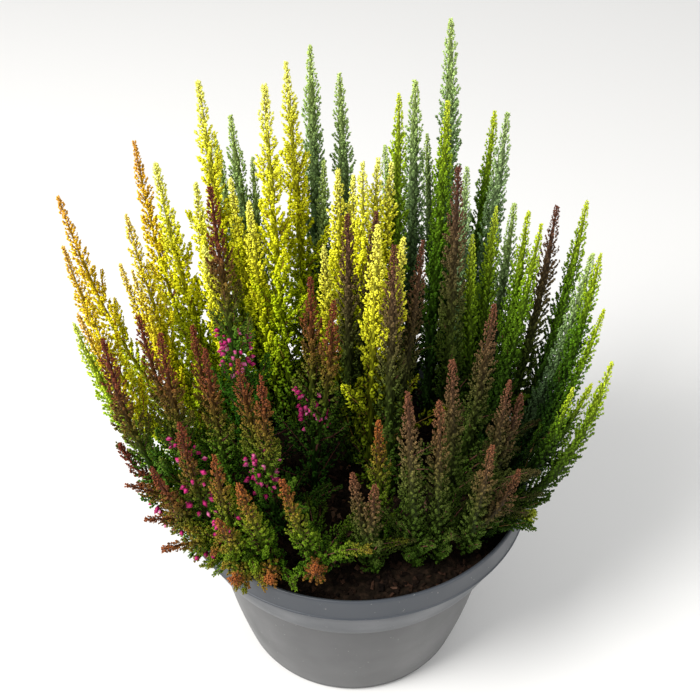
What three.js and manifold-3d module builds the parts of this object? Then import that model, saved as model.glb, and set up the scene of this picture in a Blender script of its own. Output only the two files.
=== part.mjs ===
// A nursery bowl of mixed bud heathers: gold, yellow, silver, lime, rust and red sprays rise from one
// bed of soil and fan out over the rim. Millimetres, +Z up, origin at the middle of the pot's underside.
// The front of the bowl, where bare soil shows, is -Y.

import * as THREE from "three";
import { mergeVertices } from "three/addons/utils/BufferGeometryUtils.js";
import Module from "manifold-3d";

const wasm = await Module();
wasm.setup();

// Pot
const rimRadius = 115;        // at the ridge under the rim band
const rimTop = 146;
const ridgeHeight = 131;
const ledgeHeight = 99;       // where the flared band steps in to the body
const ledgeRadius = 102;
const bodyTopRadius = 95;
const bodyBellyRadius = 88.5; // half-way up the slightly swollen body
const footRadius = 77;
const footRound = 2.5;
const wall = 2.4;
const floorThick = 4;
const potSides = 40;

// Soil
const fit = 0.3;              // gap kept between pieces that touch
const soilTop = 132;
const soilEdgeRadius = 109.5;
const soilEdgeDrop = 3;
const soilBump = 1.2;
const holeDepth = 7;
const holeRadius = 2.4;
const holeSides = 4;

// Sprays
const ringPoints = 6;         // three branchlets and three hollows between them, swapped ring by ring
const ringStep = 14.4;
const stemRadius = 1.3;
const twigRadius = 0.8;       // the bare foot of a side shoot
const ringTwist = 0.3;        // radians from one ring to the next
const branchletRise = 0.85;   // how far up a branchlet leans, in ring steps
const leafyFrom = 0.07;       // the stem is bare below this share of its length
const sideLeafyFrom = 0.22;
const sideBow = 0.18;         // how far outward a side shoot goes before it rises
const taperShare = 0.4;       // the share of a shoot that tapers to its tip
const sideSpread = 0.85;      // reach of a side shoot's branchlets against its stem's
const coreShare = 0.4;        // radius of the slim core against the branchlets' reach
const sprayGap = 0.8;         // left between the branchlets of two neighbouring sprays
const axisSamples = 24;
const rimSamples = 90;

// Each colour of heather: its tone and the reach of its branchlets from the stem.
const kinds = {
  gold: { color: 0xb9962a, spread: 6.6 },
  yellow: { color: 0xb5b52c, spread: 7.2 },
  silver: { color: 0x86a06f, spread: 8.8 },
  lime: { color: 0x6f9a2a, spread: 7.4 },
  rust: { color: 0x5d4c33, spread: 8.2 },
  red: { color: 0x6b3b2a, spread: 8.6 },
};

// Each spray: where its stem leaves the soil, its tip, how much it bows outward on the way, and its side
// shoots, each with the share of the stem's length at which it forks off and its own tip.
const sprays = {
  gold: [
    { root: [-86, 14], tip: [-174, 40, 319], bow: 0.26 },
    { root: [-88, -6], tip: [-165, 5, 306], bow: 0.26, sides: [{ fork: 0.25, tip: [-156, -20, 279] }] },
    { root: [-74, 34], tip: [-130, 60, 344], bow: 0.32 },
    {
      root: [-72, 8], tip: [-132, 25, 316], bow: 0.24,
      sides: [{ fork: 0.22, tip: [-138, 18, 286] }, { fork: 0.3, tip: [-130, 12, 286] }],
    },
  ],
  yellow: [
    { root: [-60, 24], tip: [-117, 50, 336], bow: 0.28 },
    { root: [-64, 42], tip: [-94, 45, 326], bow: 0.3, sides: [{ fork: 0.25, tip: [-90, 30, 292] }] },
    { root: [-52, 60], tip: [-91, 70, 377], bow: 0.26 },
    { root: [-48, 50], tip: [-64, 50, 310], bow: 0.2, sides: [{ fork: 0.25, tip: [-76, 64, 318] }] },
    { root: [-38, 44], tip: [-52, 55, 382], bow: 0.3 },
    { root: [-30, 70], tip: [-41, 75, 387], bow: -0.05 },
    {
      root: [-6, 46], tip: [-11, 45, 335], bow: 0.1,
      sides: [{ fork: 0.15, tip: [-19, 22, 298] }, { fork: 0.35, tip: [-2, 46, 331] }],
    },
    {
      root: [6, 46], tip: [12, 44, 343], bow: 0.05,
      sides: [{ fork: 0.4, tip: [3, 38, 344] }, { fork: 0.3, tip: [20, 48, 338] }],
    },
    { root: [10, -10], tip: [11, -15, 335], bow: 0.05, sides: [{ fork: 0.2, tip: [26, 0, 318] }] },
  ],
  silver: [
    {
      root: [-52, 78], tip: [-78, 100, 342], bow: 0.2,
      sides: [
        { fork: 0.3, tip: [-66, 100, 314] },
        { fork: 0.3, tip: [-88, 96, 330] },
        { fork: 0.12, tip: [-86, 112, 214] },
      ],
    },
    {
      root: [-22, 88], tip: [-28, 95, 389], bow: 0.1,
      sides: [{ fork: 0.25, tip: [-20, 74, 326] }, { fork: 0.1, tip: [-42, 126, 208] }],
    },
    { root: [2, 86], tip: [-11, 95, 372], bow: 0.05, sides: [{ fork: 0.1, tip: [2, 130, 202] }] },
    {
      root: [66, 76], tip: [52, 85, 409], bow: 0,
      sides: [{ fork: 0.2, tip: [43, 92, 335] }, { fork: 0.1, tip: [42, 124, 212] }],
    },
    { root: [40, 71], tip: [33, 75, 377], bow: 0, sides: [{ fork: 0.3, tip: [17, 80, 333] }] },
    { root: [70, 50], tip: [87, 70, 360], bow: 0.32, sides: [{ fork: 0.2, tip: [64, 50, 335] }] },
    { root: [84, 42], tip: [95, 55, 308], bow: 0.33, sides: [{ fork: 0.15, tip: [114, 78, 214] }] },
    { root: [92, 6], tip: [136, 15, 299], bow: 0.3 },
  ],
  lime: [
    { root: [-86, -24], tip: [-154, -35, 283], bow: 0.25 },
    { root: [52, 52], tip: [51, 60, 371], bow: 0.1 },
    { root: [27, 57], tip: [23, 55, 378], bow: 0 },
    { root: [64, 62], tip: [82, 85, 354], bow: 0.3, sides: [{ fork: 0.12, tip: [82, 108, 216] }] },
    { root: [78, 31], tip: [82, 40, 315], bow: 0.3, sides: [{ fork: 0.25, tip: [68, 28, 303] }] },
    { root: [80, 12], tip: [99, 30, 318], bow: 0.4, sides: [{ fork: 0.2, tip: [105, 19, 316] }] },
    { root: [94, 16], tip: [133, 35, 322], bow: 0.36 },
    { root: [95, -8], tip: [138, 5, 306], bow: 0.33, sides: [{ fork: 0.22, tip: [142, -8, 276] }] },
    { root: [61, -53], tip: [143, -38, 262], bow: 0.38, sides: [{ fork: 0.3, tip: [106, -70, 174] }] },
    { root: [92, -24], tip: [140, -20, 231], bow: 0.16, sides: [{ fork: 0.25, tip: [123, -42, 246] }] },
  ],
  rust: [
    { root: [62, 20], tip: [56, 25, 349], bow: 0 },
    { root: [89, 27], tip: [115, 30, 321], bow: 0.38 },
    { root: [22, -20], tip: [20, -20, 326], bow: 0, sides: [{ fork: 0.2, tip: [37, 5, 313] }] },
    { root: [66, -12], tip: [77, -20, 288], bow: 0.2 },
    { root: [-2, 10], tip: [-5, 5, 330], bow: 0, sides: [{ fork: 0.2, tip: [11, 15, 326] }] },
    { root: [62, -44], tip: [52, -55, 276], bow: 0 },
    { root: [38, -76], tip: [27, -82, 276], bow: 0, spread: 10.5 },
    { root: [52, -72], tip: [44, -78, 267], bow: 0, spread: 9.5 },
    { root: [72, -38], tip: [85, -50, 258], bow: 0.25, sides: [{ fork: 0.4, tip: [94, -45, 244] }] },
    { root: [68, -64], tip: [73, -88, 245], bow: 0.1, sides: [{ fork: 0.3, tip: [91, -80, 219] }] },
    { root: [14, -80], tip: [-1, -92, 227], bow: 0.05, sides: [{ fork: 0.35, tip: [11, -94, 220] }] },
  ],
  red: [
    { root: [-54, -4], tip: [-76, -15, 357], bow: 0.25 },
    { root: [-25, -15], tip: [-25, -20, 304], bow: 0, sides: [{ fork: 0.2, tip: [-12, -30, 297] }] },
    { root: [-80, -32], tip: [-132, -60, 292], bow: 0.38, sides: [{ fork: 0.3, tip: [-134, -58, 214] }] },
    {
      root: [-75, -40], tip: [-104, -50, 288], bow: 0.42,
      sides: [{ fork: 0.25, tip: [-118, -36, 290] }],
    },
    { root: [-66, -32], tip: [-81, -50, 278], bow: 0.35, sides: [{ fork: 0.35, tip: [-90, -32, 280] }] },
    { root: [-70, -52], tip: [-92, -85, 256], bow: 0.34, sides: [{ fork: 0.3, tip: [-108, -94, 232] }] },
    { root: [-42, -52], tip: [-63, -55, 275], bow: 0.15, sides: [{ fork: 0.25, tip: [-50, -66, 273] }] },
    { root: [-46, -80], tip: [-60, -110, 237], bow: 0.05, sides: [{ fork: 0.2, tip: [-46, -119, 173] }] },
    { root: [-18, -84], tip: [-38, -105, 235], bow: 0.05, sides: [{ fork: 0.2, tip: [-21, -114, 177] }] },
    { root: [-62, -62], tip: [-74, -94, 242], bow: 0.3 },
    { root: [-60, -76], tip: [-72, -114, 214], bow: 0.05, sides: [{ fork: 0.2, tip: [-66, -120, 174] }] },
    { root: [-86, -46], tip: [-130, -70, 194], bow: -0.1 },
    { root: [-78, -58], tip: [-116, -92, 190], bow: -0.14 },
    { root: [-68, -68], tip: [-104, -110, 186], bow: -0.16 },
    { root: [18, -64], tip: [13, -70, 245], bow: 0 },
  ],
};

// Repeatable random numbers between 0 and 1.
function seededRandom(seed) {
  let state = seed;
  return () => {
    state = (state * 1664525 + 1013904223) % 4294967296;
    return state / 4294967296;
  };
}

// A closed geometry as a solid, with doubled corners merged and faces of no area left out.
function solidFrom(geometry) {
  const bare = geometry.clone();
  bare.deleteAttribute("normal");
  bare.deleteAttribute("uv");
  const merged = mergeVertices(bare, 1e-4);
  const triangles = [];
  const corners = merged.index.array;
  for (let i = 0; i < corners.length; i += 3) {
    const [a, b, c] = [corners[i], corners[i + 1], corners[i + 2]];
    if (a !== b && b !== c && c !== a) triangles.push(a, b, c);
  }
  return new wasm.Manifold(new wasm.Mesh({
    numProp: 3,
    vertProperties: new Float32Array(merged.attributes.position.array),
    triVerts: new Uint32Array(triangles),
  }));
}

// A solid back as a geometry with faceted normals.
function geometryFrom(solid) {
  const mesh = solid.getMesh();
  const geometry = new THREE.BufferGeometry();
  geometry.setAttribute("position", new THREE.BufferAttribute(mesh.vertProperties, 3));
  geometry.setIndex(new THREE.BufferAttribute(mesh.triVerts, 1));
  geometry.computeVertexNormals();
  return geometry;
}

// A closed outline of [radius, height] points turned round the vertical axis.
function turned(outline) {
  const points = outline.map(([radius, height]) => new THREE.Vector2(radius, height));
  const geometry = new THREE.LatheGeometry(points, potSides);
  geometry.rotateX(Math.PI / 2);
  return geometry;
}

function meshOf(name, solid, color, roughness) {
  const material = new THREE.MeshStandardMaterial({ color, roughness, metalness: 0 });
  const mesh = new THREE.Mesh(geometryFrom(solid), material);
  mesh.name = name;
  return mesh;
}

// The thin-walled bowl: rounded foot, swollen body, ledge, flared band and upright rim.
function makePot() {
  const bellyHeight = ledgeHeight / 2;
  const outside = [
    [0, 0],
    [footRadius - footRound, 0],
    [footRadius, footRound],
    [bodyBellyRadius, bellyHeight],
    [bodyTopRadius, ledgeHeight],
    [ledgeRadius, ledgeHeight],
    [rimRadius, ridgeHeight],
    [rimRadius - 0.8, rimTop],
  ];
  const inside = [
    [rimRadius - wall, rimTop],
    [rimRadius - wall, ridgeHeight],
    [ledgeRadius - wall, ledgeHeight + wall],
    [bodyTopRadius - wall, ledgeHeight + wall],
    [bodyBellyRadius - wall, bellyHeight],
    [footRadius - wall, floorThick],
    [0, floorThick],
  ];
  return solidFrom(turned([...outside, ...inside]));
}

// Height of the uneven soil surface.
function soilHeight(x, y) {
  const radius = Math.hypot(x, y);
  const edge = Math.max(0, radius - 90) / 20;
  const bumps = Math.sin(x * 0.11 + 1) * Math.cos(y * 0.13) + 0.5 * Math.sin(x * 0.23 - y * 0.19);
  return soilTop + soilBump * bumps - soilEdgeDrop * edge;
}

// The soil that fills the bowl to just under the rim, with a hole for each stem.
function makeSoil(roots) {
  const clear = wall + fit;
  const outline = [
    [0, floorThick + fit],
    [footRadius - clear, floorThick + fit],
    [bodyTopRadius - clear, ledgeHeight + wall + fit],
    [soilEdgeRadius, soilTop - soilEdgeDrop * 2],
    [soilEdgeRadius * 0.88, soilTop],
    [soilEdgeRadius * 0.62, soilTop],
    [soilEdgeRadius * 0.34, soilTop],
    [0, soilTop],
  ];
  const geometry = turned(outline);
  const position = geometry.attributes.position;
  for (let i = 0; i < position.count; i += 1) {
    if (position.getZ(i) > soilTop - 1) {
      position.setZ(i, soilHeight(position.getX(i), position.getY(i)));
    }
  }
  const holes = roots.map(([x, y]) => {
    const hole = new THREE.CylinderGeometry(holeRadius, holeRadius, holeDepth + 10, holeSides);
    hole.rotateX(Math.PI / 2);
    hole.translate(x, y, soilTop + 10 - (holeDepth + 10) / 2);
    return solidFrom(hole);
  });
  return solidFrom(geometry).subtract(wasm.Manifold.union(holes));
}

// How far a branchlet can reach from the axis before it comes nearer to another spray's axis than to
// its own. Obstacles are points on the other axes.
function freeReach(centre, direction, wanted, obstacles) {
  let reach = wanted;
  for (const point of obstacles) {
    const offset = point.clone().sub(centre);
    const facing = offset.dot(direction) + sprayGap;
    if (facing > 0) reach = Math.min(reach, (offset.lengthSq() - sprayGap ** 2) / (2 * facing));
  }
  return reach;
}

// Points of one ring round the axis: the hollows lie on the core, the branchlet tips reach out and up.
function ringAt(centre, along, ring, { reach, core, rise }, obstacles, random) {
  const sideways = new THREE.Vector3(0, 1, 0).addScaledVector(along, -along.y).normalize();
  const forward = new THREE.Vector3().crossVectors(along, sideways);
  const points = [];
  for (let j = 0; j < ringPoints; j += 1) {
    const angle = ring * ringTwist + (j * 2 * Math.PI) / ringPoints;
    const out = new THREE.Vector3()
      .addScaledVector(sideways, Math.cos(angle))
      .addScaledVector(forward, Math.sin(angle));
    const isTip = (ring + j) % 2 === 0;
    const level = isTip ? centre.clone().addScaledVector(along, rise) : centre.clone();
    const wanted = isTip ? reach * (0.8 + 0.2 * random()) : core;
    points.push(level.addScaledVector(out, freeReach(level, out, wanted, obstacles)));
  }
  return points;
}

// Skin over a stack of rings, closed at the foot and drawn to a point at the tip.
function skinned(rings, tip) {
  const vertices = [...rings.flat(), tip].flatMap((point) => point.toArray());
  const at = (ring, j) => ring * ringPoints + (j % ringPoints);
  const faces = [];
  for (let j = 1; j < ringPoints - 1; j += 1) faces.push(at(0, 0), at(0, j + 1), at(0, j));
  for (let ring = 0; ring < rings.length - 1; ring += 1) {
    for (let j = 0; j < ringPoints; j += 1) {
      const [a, b, c, d] = [at(ring, j), at(ring, j + 1), at(ring + 1, j + 1), at(ring + 1, j)];
      if ((ring + j) % 2 === 0) faces.push(a, b, d, b, c, d);
      else faces.push(a, b, c, a, c, d);
    }
  }
  const top = rings.length * ringPoints;
  for (let j = 0; j < ringPoints; j += 1) faces.push(at(rings.length - 1, j), at(rings.length - 1, j + 1), top);
  const geometry = new THREE.BufferGeometry();
  geometry.setAttribute("position", new THREE.Float32BufferAttribute(vertices, 3));
  geometry.setIndex(faces);
  return solidFrom(geometry);
}

// How far the branchlets reach at a share t of the shoot: full over most of it, then tapering.
function reachAt(t, leafy, spread) {
  const rising = Math.min(1, 0.5 + (t - leafy) / 0.2);
  const tapering = Math.min(1, (1 - t) / taperShare) ** 0.7;
  return spread * rising * tapering;
}

// One shoot along its axis, from a bare foot to a pointed tip.
function makeShoot({ axis, foot, bareRadius, leafy, spread }, obstacles, random) {
  const leafyLength = axis.getLength() * (1 - leafy);
  const count = Math.max(4, Math.round(leafyLength / ringStep));
  const shareAt = (i) => leafy + (1 - leafy) * (1 - (1 - i / count) ** 1.15);
  const upright = new THREE.Vector3(0, 0, 1);
  const bare = { reach: bareRadius, core: bareRadius, rise: 0 };
  const rings = foot.map((point, i) => ringAt(point, upright, i, bare, [], random));
  for (let i = 0; i < count; i += 1) {
    const t = shareAt(i);
    const reach = reachAt(t, leafy, spread);
    const core = Math.max(bareRadius * 0.8, reach * coreShare) * Math.min(1, 1.6 - t);
    const rise = (shareAt(i + 1) - t) * axis.getLength() * branchletRise;
    const size = { reach, core, rise };
    rings.push(ringAt(axis.getPoint(t), axis.getTangent(t), foot.length + i, size, obstacles, random));
  }
  return skinned(rings, axis.getPoint(1));
}

// A shoot's axis goes outward first and then up, by its bow.
function bowedAxis(start, end, bow) {
  const middle = new THREE.Vector3(
    start.x + (0.5 + bow) * (end.x - start.x),
    start.y + (0.5 + bow) * (end.y - start.y),
    start.z + (0.5 - bow) * (end.z - start.z),
  );
  return new THREE.QuadraticBezierCurve3(start, middle, end);
}

// The main stem's axis leaves the soil at its root and bows outward to its tip.
function stemAxis(root, tip, bow) {
  return bowedAxis(new THREE.Vector3(root[0], root[1], soilTop), new THREE.Vector3(...tip), bow);
}

// A side shoot leaves its stem outward and bows up to its tip.
function sideAxis(stem, side) {
  return bowedAxis(stem.getPoint(side.fork), new THREE.Vector3(...side.tip), sideBow);
}

// The shoots of a spray: the main stem with its foot in the soil, then the side shoots.
function shootsOf(spray, spread) {
  const stem = stemAxis(spray.root, spray.tip, spray.bow);
  const foot = [
    new THREE.Vector3(spray.root[0], spray.root[1], soilTop - holeDepth + fit),
    new THREE.Vector3(spray.root[0], spray.root[1], soilTop + 1),
  ];
  const sides = (spray.sides ?? []).map((side) => {
    const axis = sideAxis(stem, side);
    return {
      axis, foot: [axis.getPoint(0)], bareRadius: twigRadius, leafy: sideLeafyFrom,
      spread: spread * sideSpread,
    };
  });
  return [{ axis: stem, foot, bareRadius: stemRadius, leafy: leafyFrom, spread }, ...sides];
}

// A whole spray in one piece: a hollow that the fusing seals is filled.
function makeSpray(shoots, obstacles, random) {
  const solids = shoots.map((shoot) => makeShoot(shoot, obstacles, random));
  const pieces = wasm.Manifold.union(solids).decompose();
  return pieces.reduce((largest, piece) => (piece.volume() > largest.volume() ? piece : largest));
}

const group = new THREE.Group();
group.add(meshOf("pot", makePot(), 0x5a5f66, 0.55));
const roots = Object.values(sprays).flat().map((spray) => spray.root);
group.add(meshOf("soil", makeSoil(roots), 0x2e211a, 0.95));

const random = seededRandom(7);
const plants = Object.entries(sprays).flatMap(([kind, list]) => list.map((spray, i) => {
  const shoots = shootsOf(spray, spray.spread ?? kinds[kind].spread);
  const samples = shoots.flatMap((shoot) => shoot.axis.getSpacedPoints(axisSamples));
  return { name: `spray_${kind}_${i + 1}`, color: kinds[kind].color, shoots, samples };
}));
const rim = new THREE.EllipseCurve(0, 0, rimRadius - wall / 2, rimRadius - wall / 2)
  .getPoints(rimSamples)
  .map((point) => new THREE.Vector3(point.x, point.y, rimTop));
for (const plant of plants) {
  const others = plants.filter((other) => other !== plant).flatMap((other) => other.samples);
  const obstacles = [...others, ...rim];
  group.add(meshOf(plant.name, makeSpray(plant.shoots, obstacles, random), plant.color, 0.8));
}

export default group;
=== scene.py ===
# The looks of a nursery bowl of mixed heathers: fine foliage on every spray, soil with bark crumbs and a
# moulded plastic bowl, on a pale floor in soft light. Working lengths are millimetres and meshes are made
# in metres.

import math

import bpy
import numpy as np
from mathutils import Matrix, Vector


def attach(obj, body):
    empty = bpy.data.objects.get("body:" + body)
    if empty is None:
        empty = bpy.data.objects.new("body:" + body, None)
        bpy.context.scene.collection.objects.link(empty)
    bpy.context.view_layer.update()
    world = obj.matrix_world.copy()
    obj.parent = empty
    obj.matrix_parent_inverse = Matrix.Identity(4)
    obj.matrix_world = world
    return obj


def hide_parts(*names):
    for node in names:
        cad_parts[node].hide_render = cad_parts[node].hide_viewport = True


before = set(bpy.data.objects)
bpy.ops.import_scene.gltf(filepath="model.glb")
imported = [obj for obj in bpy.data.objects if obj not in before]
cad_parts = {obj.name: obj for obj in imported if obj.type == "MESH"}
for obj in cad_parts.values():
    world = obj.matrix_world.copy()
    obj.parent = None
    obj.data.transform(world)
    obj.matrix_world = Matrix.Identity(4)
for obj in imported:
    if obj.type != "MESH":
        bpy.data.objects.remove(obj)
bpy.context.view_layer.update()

MM = 0.001
GOLDEN = math.pi * (3 - math.sqrt(5))     # turn from each leaf, whorl or lateral to the next
SEED = 7

# Bowl
FOOT_RADIUS = 77
FOOT_ROUND = 2.5
BODY_TOP_RADIUS = 95
BODY_SWELL = 10           # a quarter of it is how far the body swells half-way up
LEDGE_HEIGHT = 99
LEDGE_RADIUS = 102
RIDGE_RADIUS = 115
RIDGE_HEIGHT = 131
RIM_TOP = 146.0
RIM_ROUND = 1.2
WALL = 2.4
FLOOR_THICK = 4.0

# Soil
SOIL_TOP = 132.0
SOIL_FOOT = 4.6
SOIL_RADIUS = 110.2
GRAIN = 0.55              # unevenness of its surface from point to point
CHIPS = 2800
BARK_SHARE = 0.16         # the rest are crumbs

# Sprays
SIDE_BOW = 0.18           # how much a side shoot bows outward
STEM_RADIUS = 1.25
SIDE_RADIUS = 0.8
LATERAL_RADIUS = 0.5
INSIDE_RADIUS = 62.0      # stems nearer the middle than this stand inside the planting
MOST_OVER = 130.0         # how far out the low shoots reach over the rim
BUD_LENGTH, BUD_WIDTH, BUD_THICK = 4.8, 2.3, 1.0

# Each spray: where its stem leaves the soil, its tip, how much it bows outward, and its side shoots, each
# with the share of the stem's length at which it forks off and its own tip.
SPRAYS = {
    "gold": [
        ((-86, 14), (-174, 40, 319), 0.26, []),
        ((-88, -6), (-165, 5, 306), 0.26, [(0.25, (-156, -20, 279))]),
        ((-74, 34), (-130, 60, 344), 0.32, []),
        ((-72, 8), (-132, 25, 316), 0.24, [(0.22, (-138, 18, 286)), (0.3, (-130, 12, 286))]),
    ],
    "yellow": [
        ((-60, 24), (-117, 50, 336), 0.28, []),
        ((-64, 42), (-94, 45, 326), 0.3, [(0.25, (-90, 30, 292))]),
        ((-52, 60), (-91, 70, 377), 0.26, []),
        ((-48, 50), (-64, 50, 310), 0.2, [(0.25, (-76, 64, 318))]),
        ((-38, 44), (-52, 55, 382), 0.3, []),
        ((-30, 70), (-41, 75, 387), -0.05, []),
        ((-6, 46), (-11, 45, 335), 0.1, [(0.15, (-19, 22, 298)), (0.35, (-2, 46, 331))]),
        ((6, 46), (12, 44, 343), 0.05, [(0.4, (3, 38, 344)), (0.3, (20, 48, 338))]),
        ((10, -10), (11, -15, 335), 0.05, [(0.2, (26, 0, 318))]),
    ],
    "silver": [
        ((-52, 78), (-78, 100, 342), 0.2, [(0.3, (-66, 100, 314)), (0.3, (-88, 96, 330)),
                                           (0.12, (-86, 112, 214))]),
        ((-22, 88), (-28, 95, 389), 0.1, [(0.25, (-20, 74, 326)), (0.1, (-42, 126, 208))]),
        ((2, 86), (-11, 95, 372), 0.05, [(0.1, (2, 130, 202))]),
        ((66, 76), (52, 85, 409), 0, [(0.2, (43, 92, 335)), (0.1, (42, 124, 212))]),
        ((40, 71), (33, 75, 377), 0, [(0.3, (17, 80, 333))]),
        ((70, 50), (87, 70, 360), 0.32, [(0.2, (64, 50, 335))]),
        ((84, 42), (95, 55, 308), 0.33, [(0.15, (114, 78, 214))]),
        ((92, 6), (136, 15, 299), 0.3, []),
    ],
    "lime": [
        ((-86, -24), (-154, -35, 283), 0.25, []),
        ((52, 52), (51, 60, 371), 0.1, []),
        ((27, 57), (23, 55, 378), 0, []),
        ((64, 62), (82, 85, 354), 0.3, [(0.12, (82, 108, 216))]),
        ((78, 31), (82, 40, 315), 0.3, [(0.25, (68, 28, 303))]),
        ((80, 12), (99, 30, 318), 0.4, [(0.2, (105, 19, 316))]),
        ((94, 16), (133, 35, 322), 0.36, []),
        ((95, -8), (138, 5, 306), 0.33, [(0.22, (142, -8, 276))]),
        ((61, -53), (143, -38, 262), 0.38, [(0.3, (106, -70, 174))]),
        ((92, -24), (140, -20, 231), 0.16, [(0.25, (123, -42, 246))]),
    ],
    "rust": [
        ((62, 20), (56, 25, 349), 0, []),
        ((89, 27), (115, 30, 321), 0.38, []),
        ((22, -20), (20, -20, 326), 0, [(0.2, (37, 5, 313))]),
        ((66, -12), (77, -20, 288), 0.2, []),
        ((-2, 10), (-5, 5, 330), 0, [(0.2, (11, 15, 326))]),
        ((62, -44), (52, -55, 276), 0, []),
        ((38, -76), (27, -82, 276), 0, []),
        ((52, -72), (44, -78, 267), 0, []),
        ((72, -38), (85, -50, 258), 0.25, [(0.4, (94, -45, 244))]),
        ((68, -64), (73, -88, 245), 0.1, [(0.3, (91, -80, 219))]),
        ((14, -80), (-1, -92, 227), 0.05, [(0.35, (11, -94, 220))]),
    ],
    "red": [
        ((-54, -4), (-76, -15, 357), 0.25, []),
        ((-25, -15), (-25, -20, 304), 0, [(0.2, (-12, -30, 297))]),
        ((-80, -32), (-132, -60, 292), 0.38, [(0.3, (-134, -58, 214))]),
        ((-75, -40), (-104, -50, 288), 0.42, [(0.25, (-118, -36, 290))]),
        ((-66, -32), (-81, -50, 278), 0.35, [(0.35, (-90, -32, 280))]),
        ((-70, -52), (-92, -85, 256), 0.34, [(0.3, (-108, -94, 232))]),
        ((-42, -52), (-63, -55, 275), 0.15, [(0.25, (-50, -66, 273))]),
        ((-46, -80), (-60, -110, 237), 0.05, [(0.2, (-46, -119, 173))]),
        ((-18, -84), (-38, -105, 235), 0.05, [(0.2, (-21, -114, 177))]),
        ((-62, -62), (-74, -94, 242), 0.3, []),
        ((-60, -76), (-72, -114, 214), 0.05, [(0.2, (-66, -120, 174))]),
        ((-86, -46), (-130, -70, 194), -0.1, []),
        ((-78, -58), (-116, -92, 190), -0.14, []),
        ((-68, -68), (-104, -110, 186), -0.16, []),
        ((18, -64), (13, -70, 245), 0, []),
    ],
}

# How each colour of heather grows: reach of its branchlets from the stem, distance from one whorl to the
# next, branchlets in a whorl, their angle to the stem and how far they bend back up, leaf length and width,
# distance between leaves, share of a branchlet that is bare, how far round it the leaves sit, unevenness of
# the outline, reach of the core as a share of theirs, knobs round it, the distance from the tip over which
# the colour fades, how blunt the tip is, the distance between the leafy laterals along the lower part of a
# stem, and the shade of its darkest leaves.
HABITS = {
    "gold": dict(reach=6.4, step=2.9, whorl=4, angle=0.98, crook=0.45, leaf=(2.8, 2.3), gap=1.1, bare=0.15,
                 round=3.1, lumps=0.14, core=0.2, knobs=8, fade=230, blunt=0.2, laterals=12.5, dim=0.82),
    "yellow": dict(reach=7.2, step=2.8, whorl=4, angle=0.98, crook=0.45, leaf=(3.0, 2.5), gap=1.15, bare=0.2,
                   round=3.1, lumps=0.18, core=0.32, knobs=9, fade=240, blunt=0.4, laterals=13.5, dim=0.85),
    "silver": dict(reach=7.0, step=2.0, whorl=4, angle=0.95, crook=0.5, leaf=(2.3, 2.1), gap=1.15, bare=0.45,
                   round=2.4, lumps=0.09, core=0.52, knobs=12, fade=210, blunt=0.6, laterals=34, dim=0.72),
    "lime": dict(reach=6.7, step=2.0, whorl=4, angle=0.95, crook=0.5, leaf=(2.3, 2.05), gap=1.15, bare=0.45,
                 round=2.4, lumps=0.09, core=0.5, knobs=12, fade=170, blunt=0.3, laterals=34, dim=0.68),
    "rust": dict(reach=7.6, step=2.4, whorl=4, angle=0.95, crook=0.45, leaf=(2.4, 2.0), gap=1.15, bare=0.35,
                 round=2.8, lumps=0.12, core=0.4, knobs=10, fade=190, blunt=0.3, laterals=24, dim=0.62),
    "red": dict(reach=8.0, step=2.9, whorl=4, angle=1.0, crook=0.5, leaf=(2.6, 2.1), gap=1.05, bare=0.3,
                round=3.1, lumps=0.2, core=0.28, knobs=9, fade=170, blunt=0.3, laterals=13, dim=0.62),
}
CLOSE_LATERALS = 15.0     # laterals nearer together than this cover their stem; others leave it a column
LATERALS_FROM = 58.0      # how far below the tip they begin
COLUMN_LATERALS_FROM = 96.0

# Colours from the foot of a shoot to its tip, as share of the fade and linear colour.
TONES = {
    "gold": [(0.0, (0.20, 0.34, 0.006)), (0.4, (0.55, 0.60, 0.008)), (0.62, (0.80, 0.64, 0.012)),
             (0.85, (0.78, 0.46, 0.02)), (1.0, (0.74, 0.37, 0.05))],
    "yellow": [(0.0, (0.14, 0.30, 0.005)), (0.35, (0.46, 0.58, 0.006)), (0.6, (0.78, 0.76, 0.010)),
               (0.85, (0.88, 0.86, 0.05)), (1.0, (0.93, 0.92, 0.22))],
    "silver": [(0.0, (0.05, 0.11, 0.025)), (0.4, (0.14, 0.25, 0.09)), (0.7, (0.29, 0.43, 0.145)),
               (0.9, (0.44, 0.60, 0.165)), (1.0, (0.56, 0.70, 0.20))],
    "lime": [(0.0, (0.020, 0.08, 0.005)), (0.4, (0.036, 0.11, 0.004)), (0.7, (0.115, 0.25, 0.006)),
             (0.9, (0.40, 0.56, 0.012)), (1.0, (0.64, 0.74, 0.04))],
    "rust": [(0.0, (0.11, 0.25, 0.010)), (0.35, (0.12, 0.19, 0.020)), (0.6, (0.13, 0.11, 0.035)),
             (0.85, (0.15, 0.08, 0.042)), (1.0, (0.17, 0.062, 0.038))],
    "red": [(0.0, (0.04, 0.17, 0.008)), (0.42, (0.07, 0.16, 0.010)), (0.62, (0.14, 0.10, 0.014)),
            (0.8, (0.17, 0.045, 0.018)), (1.0, (0.18, 0.038, 0.020))],
}

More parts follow.
